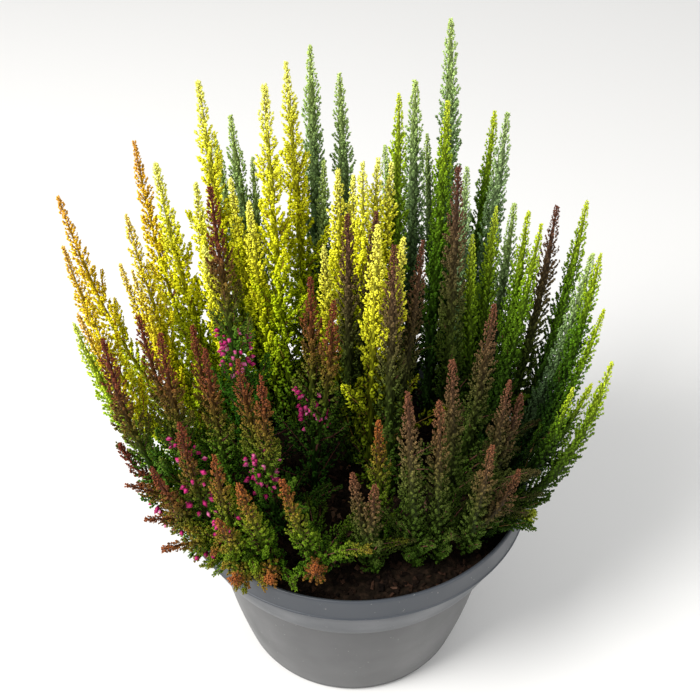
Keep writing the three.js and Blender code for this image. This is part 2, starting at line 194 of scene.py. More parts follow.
# The other tone that a few sprays of each colour lean to.
OTHER_TONES = {
    "gold": TONES["yellow"],
    "yellow": [(0.0, (0.16, 0.28, 0.006)), (0.4, (0.50, 0.56, 0.008)), (0.7, (0.84, 0.80, 0.035)),
               (1.0, (0.93, 0.88, 0.13))],
    "silver": [(0.0, (0.05, 0.12, 0.03)), (0.5, (0.14, 0.26, 0.10)), (0.8, (0.32, 0.46, 0.19)),
               (1.0, (0.46, 0.60, 0.22))],
    "lime": [(0.0, (0.12, 0.26, 0.012)), (0.4, (0.26, 0.46, 0.012)), (0.8, (0.52, 0.66, 0.03)),
             (1.0, (0.66, 0.74, 0.10))],
    "rust": [(0.0, (0.11, 0.22, 0.02)), (0.4, (0.15, 0.17, 0.03)), (0.8, (0.24, 0.11, 0.035)),
             (1.0, (0.30, 0.11, 0.035))],
    "red": [(0.0, (0.10, 0.28, 0.008)), (0.45, (0.17, 0.27, 0.010)), (0.68, (0.23, 0.18, 0.015)),
            (0.86, (0.28, 0.105, 0.020)), (1.0, (0.33, 0.10, 0.024))],
}

# How far each spray leans to it.
LEANINGS = {
    "gold": [0, 0.15, 0, 0.5],
    "yellow": [0, 0, 0.2, 0.3, 0.2, 0.2, 0.6, 0.1, 1],
    "silver": [0, 0, 0.2, 0.3, 0.2, 0.9, 0, 0.1],
    "lime": [1, 0.2, 0.5, 0.1, 0.3, 0.15, 0.1, 0, 0.3, 0.1],
    "rust": [0, 0, 0.1, 0.2, 0, 0.2, 0.2, 0.4, 0.2, 0.4, 0.3],
    "red": [0, 0.2, 0, 0.1, 0.2, 0.15, 0.3, 1, 0.9, 0.7, 0.9, 0.5, 0.5, 0.7, 1.3],
}
STEM_TONES = {
    "gold": (0.36, 0.10, 0.03), "yellow": (0.38, 0.22, 0.05), "silver": (0.12, 0.10, 0.05),
    "lime": (0.20, 0.12, 0.04), "rust": (0.26, 0.11, 0.08), "red": (0.16, 0.06, 0.05),
}

# Magenta flower buds: which red sprays have them, how far below the tip, over what length, how many.
BUDS = {1: (106, 32, 46), 2: (95, 34, 36), 4: (80, 16, 12), 7: (80, 38, 46), 6: (52, 40, 16),
        12: (34, 24, 16), 13: (40, 34, 14), 14: (44, 24, 12), 10: (60, 20, 8)}
PETALS = [(0, (0.35, 0.015, 0.10)), (0.6, (0.55, 0.03, 0.18)), (1, (0.72, 0.22, 0.40))]


def unit(vectors):
    """Vectors scaled to length one, along the last axis."""
    return vectors / np.maximum(np.linalg.norm(vectors, axis=-1, keepdims=True), 1e-9)


class Axis:
    """A quadratic curve through space, with points by their distance along it."""

    def __init__(self, start, middle, end):
        self.corners = [np.array(p, float) for p in (start, middle, end)]
        self.shares = np.linspace(0, 1, 101)
        steps = np.linalg.norm(np.diff(self.at(self.shares), axis=0), axis=1)
        self.distances = np.concatenate([[0], np.cumsum(steps)])
        self.length = self.distances[-1]

    def at(self, t):
        a, b, c = self.corners
        t = np.asarray(t, float)[..., None]
        return (1 - t) ** 2 * a + 2 * t * (1 - t) * b + t * t * c

    def direction(self, t):
        a, b, c = self.corners
        t = np.asarray(t, float)[..., None]
        return unit((1 - t) * (b - a) + t * (c - b))

    def share(self, distance):
        return np.interp(distance, self.distances, self.shares)


def bowed_axis(start, tip, bow):
    """A shoot goes outward first and then up, by its bow."""
    start, tip = np.array(start, float), np.array(tip, float)
    lean = np.array([0.5 + bow, 0.5 + bow, 0.5 - bow])
    return Axis(start, start + lean * (tip - start), tip)


def stem_axis(root, tip, bow):
    """The main stem leaves the soil at its root and bows outward to its tip."""
    return bowed_axis((root[0], root[1], SOIL_TOP), tip, bow)


def side_axis(stem, fork, tip):
    """A side shoot leaves its stem outward and bows up to its tip."""
    return bowed_axis(stem.at(fork), tip, SIDE_BOW)


LEAF_FACES = np.array([[0, 2, 1], [0, 1, 3], [0, 3, 2], [1, 2, 3]])
LEAF, STEM, BUD = 0.0, 1.0, 2.0                       # the parts that a foliage mesh tells apart
CORNER_SHADES = np.array([0.5, 1.25, 0.95, 0.95])     # base, tip and sides of a leaf
LEAF_WIDEST = 0.52                                    # share of its length at which a leaf is widest
PAINTED_HOLLOW_SHADE = 0.22                                     # painted shade in the hollows between the knobs of a core
PAINTED_INNER_SHADE = 0.38                                    # painted shade of leaves deep in the planting


def round_axis(along):
    """Two directions square to an axis and to each other."""
    side = unit(np.cross(along, [0.0, 1.0, 0.0]))
    return side, np.cross(along, side)


def wall_corners(at):
    """The corners of each wall piece between closed rings of point numbers, one ring above the other."""
    return at[:-1], np.roll(at[:-1], -1, axis=1), np.roll(at[1:], -1, axis=1), at[1:]


class Foliage:
    """Collects leaves, as four-cornered scales, and stems, as tubes, for one mesh. Each point keeps its
    tone, from foot to tip, its shade, a factor on the colour that also carries painted shade, and its part."""

    def __init__(self):
        self.scales = []
        self.tubes = []

    def add_scales(self, base, along, across, out, length, width, thick, tone, shade, part):
        """Scales at base, with their long, wide and outward directions and their sizes."""
        length, width, thick = (np.broadcast_to(value, base.shape[:-1])[..., None]
                                for value in (length, width, thick))
        middle = base + along * length * LEAF_WIDEST - out * thick
        corners = np.stack([
            base,
            base + along * length,
            middle + across * width / 2,
            middle - across * width / 2,
        ], axis=-2).reshape(-1, 4, 3)
        facts = np.empty((len(corners), 4, 3))
        for i, value in enumerate((tone, shade, part)):
            facts[..., i] = np.broadcast_to(value, base.shape[:-1]).reshape(-1, 1)
        facts[..., 1] *= CORNER_SHADES
        self.scales.append((corners, facts))

    def add_tube(self, points, radii, tone, shade, part):
        """A closed tube through the points; radii, and shade too where it
        varies, has a row for each point and a column for each side."""
        side, front = round_axis(unit(np.gradient(points, axis=0)))
        sides = radii.shape[1]
        angles = np.arange(sides) * 2 * math.pi / sides
        rings = (points[:, None]
                 + radii[..., None] * (np.cos(angles)[None, :, None] * side[:, None]
                                       + np.sin(angles)[None, :, None] * front[:, None]))
        self.tubes.append((rings, np.broadcast_to(tone, len(points)), shade, part))

    def build(self, name, material):
        """One mesh object of all that was added, in metres, with its facts and its bake map."""
        corners = np.concatenate([c for c, _ in self.scales])
        facts = np.concatenate([f for _, f in self.scales])
        count = len(corners)
        first = np.arange(count)[:, None, None] * 4
        vertices = [corners.reshape(-1, 3)]
        values = [facts.reshape(-1, 3)]
        faces = [(first + LEAF_FACES).reshape(-1, 3)]
        cells = [np.repeat(np.arange(count), 4)]
        spots = [np.tile(LEAF_FACES, (count, 1))]
        total = count * 4
        next_cell = count
        for rings, tone, shade, part in self.tubes:
            n, sides = rings.shape[:2]
            at = total + np.arange(n * sides).reshape(n, sides)
            a, b, c, d = wall_corners(at)
            # The pieces are cut along alternate diagonals, so that knobs stay knobs.
            turned = (np.add.outer(np.arange(n - 1), np.arange(sides)) % 2 == 1)[..., None]
            low = np.where(turned, np.stack([a, b, d], axis=-1), np.stack([a, b, c], axis=-1))
            high = np.where(turned, np.stack([b, c, d], axis=-1), np.stack([a, c, d], axis=-1))
            foot = np.array([[at[0, 0], at[0, j + 1], at[0, j]] for j in range(1, sides - 1)])
            top = np.array([[at[-1, 0], at[-1, j], at[-1, j + 1]] for j in range(1, sides - 1)])
            faces += [np.stack([low, high], axis=2).reshape(-1, 3), foot, top]
            walls = (n - 1) * sides
            ends = 2 * (sides - 2)
            cells += [next_cell + np.repeat(np.arange(walls), 2), np.full(ends, next_cell + walls)]
            wall_spots = np.where(turned[..., None], [[0, 3, 2], [3, 1, 2]], [[0, 3, 1], [0, 1, 2]])
            spots += [wall_spots.reshape(-1, 3), np.tile([[0, 3, 1]], (ends, 1))]
            next_cell += walls + 1
            vertices.append(rings.reshape(-1, 3))
            tube_facts = np.empty((n * sides, 3))
            tube_facts[:, 0] = np.repeat(tone, sides)
            tube_facts[:, 1] = np.broadcast_to(shade, (n, sides)).ravel()
            tube_facts[:, 2] = part
            values.append(tube_facts)
            total += n * sides
        obj = mesh_object(name, np.concatenate(vertices) * MM, np.concatenate(faces), material)
        values = np.concatenate(values).astype(np.float32)
        for i, fact in enumerate(("tone", "shade", "part")):
            layer = obj.data.attributes.new(fact, "FLOAT", "POINT")
            layer.data.foreach_set("value", values[:, i])
        add_cells(obj.data, np.concatenate(cells), np.concatenate(spots))
        return obj


def mesh_object(name, vertices, faces, material):
    """A smooth mesh of triangles or quads from arrays, in the scene."""
    mesh = bpy.data.meshes.new(name)
    corners = faces.shape[1]
    mesh.vertices.add(len(vertices))
    mesh.vertices.foreach_set("co", vertices.astype(np.float32).ravel())
    mesh.loops.add(len(faces) * corners)
    mesh.loops.foreach_set("vertex_index", faces.astype(np.int32).ravel())
    mesh.polygons.add(len(faces))
    mesh.polygons.foreach_set("loop_start", np.arange(len(faces), dtype=np.int32) * corners)
    mesh.update(calc_edges=True)
    mesh.shade_smooth()
    mesh.materials.append(material)
    obj = bpy.data.objects.new(name, mesh)
    bpy.context.scene.collection.objects.link(obj)
    return obj


def add_cells(mesh, cells, spots):
    """A map that gives each leaf a cell of its own in a square grid."""
    side = math.ceil(math.sqrt(cells.max() + 1))
    spot_places = np.array([[0.2, 0.2], [0.8, 0.8], [0.2, 0.8], [0.8, 0.2]])
    origin = np.stack([cells % side, cells // side], axis=-1)[:, None]
    places = (origin + spot_places[spots]) / side
    layer = mesh.uv_layers.new(name="OFBake")
    layer.data.foreach_set("uv", places.astype(np.float32).ravel())


def smooth_step(x):
    x = np.clip(x, 0, 1)
    return x * x * (3 - 2 * x)


# Reach of the branchlets at distances from the tip of a long stem, for a narrow cone and a blunt neck.
TIP_DISTANCES = np.array([0, 3, 12, 32, 60, 100, 160])
CONE_REACH = [0.03, 0.08, 0.25, 0.58, 0.84, 1.0, 1.15]
NECK_REACH = [0.06, 0.22, 0.38, 0.66, 0.92, 1.0, 1.15]
FOOT_REACH = 0.8          # at the foot of the leafy part
FOOT_LENGTH = 40.0
LONG_STEM = 100.0
SHORT_TIP = 0.45          # size of a lateral's tip against a long stem's


def reach_profile(to_tip, from_foot, blunt, size):
    """Reach of the branchlets from the tip down, between the cone and the neck by its bluntness."""
    distances = TIP_DISTANCES * size
    cone = np.interp(to_tip, distances, CONE_REACH)
    neck = np.interp(to_tip, distances, NECK_REACH)
    foot = np.clip(FOOT_REACH + from_foot / FOOT_LENGTH, 0, 1)
    return (cone + (neck - cone) * blunt) * foot


# The inside of the planting, below a height over the soil that falls with the distance from the middle:
# there the foliage is made thinner, and its leaves get painted shade, deeper further down.
HIDDEN_HEIGHT, HIDDEN_FALL, HIDDEN_FADE = 150, 0.9, 40
FRONT_FROM, FRONT_FADE = 20, 30
HIDDEN_THINNING = 0.5
PAINTED_SHADE_HEIGHT, PAINTED_SHADE_FALL, PAINTED_SHADE_FADE = 165, 0.75, 90
PAINTED_SHADE_LEAN = 0.45          # the painted shade rises towards +X, away from the stronger light


def fullness(point):
    """How densely foliage is made at a point: less in the middle of the planting, low down."""
    x, y, z = point
    hidden = (HIDDEN_HEIGHT - HIDDEN_FALL * math.hypot(x, y) - (z - SOIL_TOP)) / HIDDEN_FADE
    front = (-y - FRONT_FROM) / FRONT_FADE
    return 1 - HIDDEN_THINNING * float(smooth_step(hidden)) * (1 - float(smooth_step(front)))


def painted_depth_shade(points):
    """Painted shade on the leaves at their places: darker low down between the stems and away from the
    light, where shade falls.
    """
    x, y, z = (points[..., i] for i in range(3))
    depth = PAINTED_SHADE_HEIGHT - PAINTED_SHADE_FALL * np.hypot(x, y) + PAINTED_SHADE_LEAN * x - (z - SOIL_TOP)
    return 1 - (1 - PAINTED_INNER_SHADE) * smooth_step(depth / PAINTED_SHADE_FADE)


# How the branchlets and leaves of all colours grow.
LATERAL_WHORL = 3         # branchlets in a whorl of a lateral
TURN_SPREAD = 0.28        # unevenness of their turn round the shoot
ANGLE_SPREAD = 0.09
LONG_LUMPS, SHORT_LUMPS = 7.0, 2.6      # the shoot's outline swells and narrows over these lengths
LEAST_REACH = 0.6
TIP_PRESS, PRESS_LENGTH = 0.4, 28.0     # near its tip a shoot's branchlets are pressed to it
TIP_STEP, STEP_LENGTH = 0.4, 40.0       # and its whorls stand closer
COVERED_STEM = 0.75       # fullness of a stem that its laterals cover
TWIGGY_CORE = 0.4         # shoots with a slimmer core show their twigs
LATERAL_BARE = 0.1
LEAF_THICK = 0.55


def whorl_places(axis, habit, start, main):
    """Where the whorls stand along a shoot, and how full the foliage is there."""
    distances, fulls = [], []
    distance = start
    while distance < axis.length - 0.6:
        to_tip = axis.length - distance
        full = fullness(axis.at(axis.share(distance)))
        if main and habit["laterals"] < CLOSE_LATERALS and to_tip > LATERALS_FROM + 12:
            full *= COVERED_STEM
        distances.append(distance)
        fulls.append(full)
        distance += habit["step"] / full * min(1.0, TIP_STEP + to_tip / STEP_LENGTH)
    return np.array(distances), np.array(fulls)


class Branchlets:
    """The branchlets of a shoot, a row for each whorl and a column for each branchlet of it. Each one
    starts out from the shoot's axis in its first direction and bends towards its later one."""

    def __init__(self, axis, habit, leafy, scale, below, fade, rng, main):
        start = leafy * axis.length
        s, self.full = whorl_places(axis, habit, start, main)
        to_tip = axis.length - s
        t = axis.share(s)
        self.centre, self.along = axis.at(t), axis.direction(t)
        self.tone = np.clip(1 - (below + axis.length - s) / fade, 0, 1)
        side, front = round_axis(self.along)
        whorl = habit["whorl"] if main else LATERAL_WHORL
        self.shape = (len(s), whorl)
        turn = (np.arange(len(s)) * GOLDEN)[:, None] + np.arange(whorl) * 2 * math.pi / whorl
        turn = turn + rng.normal(0, TURN_SPREAD, self.shape)
        out = np.cos(turn)[..., None] * side[:, None] + np.sin(turn)[..., None] * front[:, None]

        long_lumps = np.sin(s / LONG_LUMPS + rng.uniform(0, 6))
        short_lumps = 0.7 * np.sin(s / SHORT_LUMPS + rng.uniform(0, 6))
        lumps = 1 + habit["lumps"] * (long_lumps + short_lumps)
        size = min(1.0, axis.length / LONG_STEM) if main else SHORT_TIP
        self.profile = reach_profile(to_tip, s - start, habit["blunt"], size)
        reach = (habit["reach"] * scale * self.profile * lumps)[:, None]
        self.reach = np.maximum(LEAST_REACH, reach * rng.uniform(0.75, 1.08, self.shape))
        pressed = np.clip(TIP_PRESS + to_tip / PRESS_LENGTH, 0, 1)[:, None]
        angle = (habit["angle"] + rng.normal(0, ANGLE_SPREAD, self.shape)) * pressed
        bent = angle - habit["crook"] * pressed
        length = self.reach / (0.5 * (np.sin(angle) + np.sin(bent)))
        self.length = np.minimum(length, to_tip[:, None] + 0.8)
        self.first, self.later = (
            np.cos(a)[..., None] * self.along[:, None] + np.sin(a)[..., None] * out for a in (angle, bent))


def add_twigs(foliage, branchlets):
    """The bare twig inside each branchlet."""
    centre = branchlets.centre[:, None]
    end = centre + branchlets.length[..., None] * 0.5 * (branchlets.first + branchlets.later)
    twig = unit(end - centre)
    across = unit(np.cross(twig, branchlets.along[:, None]))
    base = np.broadcast_to(centre, end.shape)
    foliage.add_scales(base, twig, across, np.cross(twig, across), np.linalg.norm(end - base, axis=-1),
                       0.6, 0.25, branchlets.tone[:, None], 0.8, STEM)


def add_leaves(foliage, branchlets, habit, bare, rng):
    """Scale leaves along every branchlet beyond its bare share, turned round it one after the other."""
    length = branchlets.length
    full = branchlets.full[:, None]
    gap = habit["gap"] / full ** 0.5
    bare_length = bare * length
    most = int(math.ceil(((length - bare_length) / gap).max())) + 1
    j = np.arange(most)
    spaced = bare_length[..., None] + (j + 0.6) * gap[..., None]
    here = spaced < length[..., None] + 0.35 * gap[..., None]
    share = np.minimum(spaced / length[..., None], 1.0)[..., None]
    first, later = branchlets.first[:, :, None], branchlets.later[:, :, None]
    spot = (branchlets.centre[:, None, None]
            + length[..., None, None] * share * ((1 - share / 2) * first + (share / 2) * later))
    heading = unit((1 - share) * first + share * later)
    left = unit(np.cross(heading, branchlets.along[:, None, None]))
    away = np.cross(left, heading)
    spin = j * GOLDEN + rng.uniform(0, 6.3, (*branchlets.shape, 1)) + math.pi
    spin = (spin % (2 * math.pi) - math.pi) * habit["round"] / math.pi
    facing = np.cos(spin)[..., None] * away + np.sin(spin)[..., None] * left
    lean = (0.72 - 0.42 * share[..., 0]) * rng.uniform(0.8, 1.2, share.shape[:-1])
    along = np.cos(lean)[..., None] * heading + np.sin(lean)[..., None] * facing
    out = np.cos(lean)[..., None] * facing - np.sin(lean)[..., None] * heading
    across = np.cross(heading, facing)
    size = rng.uniform(0.8, 1.15, here.shape) * (0.62 + 0.38 * branchlets.profile[:, None, None])
    size = size / full[..., None] ** 0.4
    leaf_length, leaf_width = habit["leaf"]
    shade = rng.uniform(habit["dim"], 1.12, here.shape) + rng.uniform(0, 0.28, (*branchlets.shape, 1))
    # painted shade: leaves darker low down between the stems and away from the light
    shade = shade * painted_depth_shade(branchlets.centre)[:, None, None]
    tone = np.clip(branchlets.tone[:, None, None] + 0.10 * (share[..., 0] - 0.6), 0, 1)
    foliage.add_scales(spot[here], along[here], across[here], out[here], (leaf_length * size)[here],
                       (leaf_width * size)[here], (LEAF_THICK * size)[here], tone[here], shade[here], LEAF)


def add_tip(foliage, axis, tone):
    """The pointed leaf at the very tip of a shoot."""
    along = axis.direction(1.0)
    side, front = round_axis(along)
    base = axis.at(1.0) - along * 1.6
    foliage.add_scales(base[None], along[None], side[None], front[None], 2.0, 1.0, 0.3, tone, 1.0, LEAF)


def add_core(foliage, branchlets, habit, rng):
    """The knobbly inside of a shoot, light on the knobs, with painted shade in the hollows between them and
    the painted depth shade over all.
    """
    raised = (np.arange(branchlets.shape[0])[:, None] + np.arange(habit["knobs"])) % 2
    core = habit["core"] * branchlets.reach.mean(axis=1)[:, None] * (0.72 + 0.5 * raised)
    core = np.maximum(core, 0.5) * rng.uniform(0.8, 1.2, raised.shape)
    # painted shade in the hollows between the knobs, light on the knobs
    light = (PAINTED_HOLLOW_SHADE + (1.0 - PAINTED_HOLLOW_SHADE) * raised) * rng.uniform(0.75, 1.05, raised.shape)
    foliage.add_tube(branchlets.centre, core, branchlets.tone,
                     light * painted_depth_shade(branchlets.centre)[:, None], LEAF)


def leaf_shoot(foliage, axis, habit, leafy, scale, below, fade, rng, main=False):
    """Covers a shoot with whorls of leafy branchlets. Its tip lies below the stem's tip by a distance, which
    with the fade sets its colour."""
    branchlets = Branchlets(axis, habit, leafy, scale, below, fade, rng, main)
    if main and habit["core"] < TWIGGY_CORE:
        add_twigs(foliage, branchlets)
    add_leaves(foliage, branchlets, habit, habit["bare"] if main else LATERAL_BARE, rng)
    add_tip(foliage, axis, branchlets.tone[-1])
    if main:
        add_core(foliage, branchlets, habit, rng)


LONGEST_LATERAL = 44.0
COLUMN_LATERAL_SIZE, COLUMN_LATERAL_SPREAD = 0.7, 0.75    # against those of the open stems


def lateral_axes(stem, spacing, rng):
    """Laterals round the lower part of a stem that turn upright, longer further down, with how far below
    the stem's tip each one ends. The nearly level stems' laterals turn up most."""
    axes = []
    columnar = spacing > CLOSE_LATERALS
    to_tip = COLUMN_LATERALS_FROM if columnar else min(LATERALS_FROM, 0.42 * stem.length)
    turn = rng.uniform(0, 2 * math.pi)
    while to_tip < stem.length - 8:
        t = float(stem.share(stem.length - to_tip))
        start, along = stem.at(t), stem.direction(t)
        side, front = round_axis(along)
        out = math.cos(turn) * side + math.sin(turn) * front
        length = min(LONGEST_LATERAL, max(0.34 * (to_tip - 24.0), 0.2 * to_tip)) * rng.uniform(0.75, 1.2)
        length *= COLUMN_LATERAL_SIZE if columnar else 1.0
        angle = rng.uniform(0.42, 0.62) * (COLUMN_LATERAL_SPREAD if columnar else 1.0)
        upright = unit(along + np.array([0, 0, 0.35 + 1.7 * (1 - along[2]) ** 2]))
        tip = start + length * (math.cos(angle) * upright + math.sin(angle) * out)
        middle = start + length * 0.5 * (math.cos(angle + 0.3) * along + math.sin(angle + 0.3) * out)
        over_rim = math.hypot(tip[0], tip[1]) > 100 and tip[2] < RIM_TOP + 8
        if not over_rim:
            axes.append((Axis(start, middle, tip), to_tip - length * math.cos(angle)))
        turn += GOLDEN
        to_tip += spacing / fullness(start) * rng.uniform(0.85, 1.15)
    return axes


def add_stem(foliage, axis, foot, radius):
    """The woody stem of a shoot, from below the soil or from its fork."""
    t = np.linspace(0, 0.985, max(4, int(axis.length / 10)))
    points = axis.at(t)
    radii = radius * (1 - 0.75 * t)
    if foot:
        points = np.concatenate([[points[0] - [0, 0, 6.0]], points])
        radii = np.concatenate([[radius], radii])
    sides = 6 if radius > LATERAL_RADIUS else 3
    foliage.add_tube(points, np.repeat(radii[:, None], sides, axis=1), np.linspace(0, 1, len(points)),
                     1.0, STEM)


def add_buds(foliage, axis, below_tip, span, count, rng):
    """Small flower buds that hang among the branchlets, in loose groups, most of them on the front."""
    s = axis.length - below_tip + rng.uniform(-span / 2, span / 2, count)
    t = axis.share(s)
    centre, along = axis.at(t), axis.direction(t)
    side, front = round_axis(along)
    turn = rng.uniform(0, 2 * math.pi, count)[:, None]
    out = np.cos(turn) * side + np.sin(turn) * front
    brought_forward = (out[:, 1:2] > 0) & (rng.uniform(0, 1, (count, 1)) < 0.6)
    out = np.where(brought_forward, -out, out)
    heading = unit(out + along * rng.uniform(-0.3, 0.7, (count, 1)) - [0, 0, 0.3])
    across = unit(np.cross(heading, along))
    start = centre + out * rng.uniform(4.4, 8.2, (count, 1))
    size = rng.uniform(0.8, 1.2, count)
    for sign in (1, -1):
        foliage.add_scales(start, heading, across, sign * np.cross(heading, across),
                           BUD_LENGTH * size, BUD_WIDTH * size, -BUD_THICK,
                           rng.uniform(0, 1, count), 1.0, BUD)


def low_shoots(root, stem, rng):
    """Short leafy shoots from the foot of a stem that close the planting low down. Round the rim they lean
    outward and up, in front on the left they arch over the rim, and in front on the right, where the soil
    shows, they are short and lean every way."""
    x, y = root
    distance = math.hypot(x, y)
    showing = y < -55 and x > 10
    draping = y < -45 and x < 0 and distance > INSIDE_RADIUS
    inside = distance < INSIDE_RADIUS or (-50 < x < 30 and y < -40)
    behind = distance < INSIDE_RADIUS and y > 20
    count = 7 if draping else 5 if showing or (inside and not behind) else 1 if behind else 4
    spread = 3.0 if inside else 1.6 if showing else 0.6
    axes = []
    for _ in range(count):
        fork = rng.uniform(0.03, 0.22) if showing or draping else rng.uniform(0.04, 0.28)
        heading = math.atan2(y, x) + rng.normal(0, spread)
        rise = rng.uniform(0.2, 0.9) if draping else rng.uniform(0.5, 1.15)
        length = rng.uniform(18, 32) if showing else rng.uniform(34, 58)
        start = stem.at(fork)
        tip = start + length * np.array([
            math.cos(rise) * math.cos(heading), math.cos(rise) * math.sin(heading), math.sin(rise)])
        over = math.hypot(tip[0], tip[1])
        if over > 98:
            tip[2] = max(tip[2], RIM_TOP + (10 if draping else 14))
            tip[:2] *= min(1, MOST_OVER / over)
        middle = (start + tip) / 2 + [0, 0, 10 if draping else 2]
        axes.append((Axis(start, middle, tip), stem.length * (1 - fork) - length))
    return axes


def make_spray(kind, number, spec, material, rng):
    """One spray of foliage, in place of its solid."""
    root, tip, bow, sides = spec
    habit = HABITS[kind]
    foliage = Foliage()
    stem = stem_axis(root, tip, bow)
    fade = min(habit["fade"], 0.9 * stem.length)
    leaf_shoot(foliage, stem, habit, 0.01, 1.0, 0.0, fade, rng, main=True)
    add_stem(foliage, stem, True, STEM_RADIUS)
    laterals = lateral_axes(stem, habit["laterals"], rng) + low_shoots(root, stem, rng)
    for fork, side_tip in sides:
        axis = side_axis(stem, fork, side_tip)
        leaf_shoot(foliage, axis, habit, 0.12, 0.85, 0.0, fade, rng, main=True)
        add_stem(foliage, axis, False, SIDE_RADIUS)
        laterals += lateral_axes(axis, habit["laterals"], rng)
    for axis, below in laterals:
        leaf_shoot(foliage, axis, habit, 0.15, 0.66, below, fade, rng)
        add_stem(foliage, axis, False, LATERAL_RADIUS)
    if kind == "red" and number in BUDS:
        add_buds(foliage, stem, *BUDS[number], rng)
    obj = foliage.build(f"foliage_{kind}_{number}", material)
    leaning = obj.data.attributes.new("leaning", "FLOAT", "POINT")
    leans = np.full(len(obj.data.vertices), LEANINGS[kind][number - 1], np.float32)
    leaning.data.foreach_set("value", leans)
    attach(obj, "root")
    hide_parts(f"spray_{kind}_{number}")


def new_material(name, roughness, color=None):
    """A node material with a Principled shader."""
    material = bpy.data.materials.new(name)
    material.use_nodes = True
    shader = material.node_tree.nodes["Principled BSDF"]
    shader.inputs["Roughness"].default_value = roughness
    if color:
        shader.inputs["Base Color"].default_value = (*color, 1)
    return material, material.node_tree, shader


def ramp_node(tree, factor, stops):
    """A colour ramp of share and linear colour, read at a socket's value."""
    node = tree.nodes.new("ShaderNodeValToRGB")
    elements = node.color_ramp.elements
    while len(elements) > 1:
        elements.remove(elements[-1])
    elements[0].position = stops[0][0]
    elements[0].color = (*stops[0][1], 1)
    for share, color in stops[1:]:
        elements.new(share).color = (*color, 1)
    tree.links.new(factor, node.inputs["Fac"])
    return node.outputs["Color"]


def attribute(tree, name):
    node = tree.nodes.new("ShaderNodeAttribute")
    node.attribute_name = name
    return node.outputs["Fac"]


def mix_colors(tree, kind, factor, first, second):
    """A colour mix; each input is a socket, a number or a colour."""
    node = tree.nodes.new("ShaderNodeMix")
    node.data_type = "RGBA"
    node.blend_type = kind
    for socket, value in ((node.inputs[0], factor), (node.inputs[6], first), (node.inputs[7], second)):
        if isinstance(value, bpy.types.NodeSocket):
            tree.links.new(value, socket)
        elif isinstance(value, tuple):
            socket.default_value = (*value, 1)
        else:
            socket.default_value = value
    return node.outputs[2]


def math_node(tree, operation, first, second, clamp=False):
    node = tree.nodes.new("ShaderNodeMath")
    node.operation = operation
    node.use_clamp = clamp
    tree.links.new(first, node.inputs[0])
    node.inputs[1].default_value = second
    return node.outputs[0]


def noise_node(tree, scale, detail=3.0):
    """Noise in the object's own coordinates, scale in cycles a metre."""
    place = tree.nodes.new("ShaderNodeTexCoord")
    noise = tree.nodes.new("ShaderNodeTexNoise")
    noise.inputs["Scale"].default_value = scale
    noise.inputs["Detail"].default_value = detail
    tree.links.new(place.outputs["Object"], noise.inputs["Vector"])
    return noise.outputs["Fac"]


def bump_node(tree, shader, height, strength, distance):
    bump = tree.nodes.new("ShaderNodeBump")
    bump.inputs["Strength"].default_value = strength
    bump.inputs["Distance"].default_value = distance
    tree.links.new(height, bump.inputs["Height"])
    tree.links.new(bump.outputs["Normal"], shader.inputs["Normal"])


def foliage_material(kind):
    """Leaf colour by the place along the shoot, with each leaf a little lighter or darker, times the shade,
    which also carries painted shade deep in the planting and in the hollows of the cores.
    """
    material, tree, shader = new_material(f"{kind}_foliage", 0.6)
    tone = attribute(tree, "tone")
    usual = ramp_node(tree, tone, TONES[kind])
    other = ramp_node(tree, tone, OTHER_TONES[kind])
    leaf = mix_colors(tree, "MIX", attribute(tree, "leaning"), usual, other)
    part = attribute(tree, "part")
    stem = math_node(tree, "MULTIPLY", part, 1.0, clamp=True)
    colour = mix_colors(tree, "MIX", stem, leaf, STEM_TONES[kind])
    bud = math_node(tree, "SUBTRACT", part, 1.0, clamp=True)
    petal = ramp_node(tree, tone, PETALS)
    colour = mix_colors(tree, "MIX", bud, colour, petal)
    varied_and_painted_shade = mix_colors(tree, "MULTIPLY", 1.0, colour, attribute(tree, "shade"))
    tree.links.new(varied_and_painted_shade, shader.inputs["Base Color"])
    shader.inputs["Specular IOR Level"].default_value = 0.12
    return material


def ring_points(radius, height, segments):
    """A level ring of points round the vertical axis."""
    angles = np.arange(segments) * 2 * math.pi / segments
    return np.stack([radius * np.cos(angles), radius * np.sin(angles), np.full(segments, height)], axis=-1)


def closed_rings(name, rings, lowest, highest, material):
    """A closed body round the vertical axis from rings of points, each joined to the next, and the heights
    at which it starts and ends on the axis."""
    count, segments = rings.shape[:2]
    vertices = np.concatenate([rings.reshape(-1, 3), [[0, 0, lowest], [0, 0, highest]]])
    at = np.arange(count * segments).reshape(count, segments)
    a, b, c, d = wall_corners(at)
    walls = np.stack([np.stack([a, b, c], axis=-1), np.stack([a, c, d], axis=-1)], axis=2).reshape(-1, 3)
    foot = np.stack([np.roll(at[0], -1), at[0], np.full(segments, at.size)], axis=-1)
    top = np.stack([at[-1], np.roll(at[-1], -1), np.full(segments, at.size + 1)], axis=-1)
    return mesh_object(name, vertices * MM, np.concatenate([walls, foot, top]), material)


def arc(centre, radius, start, end, steps=6):
    """Points on an arc of the profile, angles in degrees."""
    return [(centre[0] + radius * math.cos(math.radians(a)), centre[1] + radius * math.sin(math.radians(a)))
            for a in np.linspace(start, end, steps)]


def body_radius(z):
    """The bowl's slightly swollen body, from its foot to the ledge."""
    u = z / LEDGE_HEIGHT
    return FOOT_RADIUS + (BODY_TOP_RADIUS - FOOT_RADIUS) * u + BODY_SWELL * u * (1 - u)


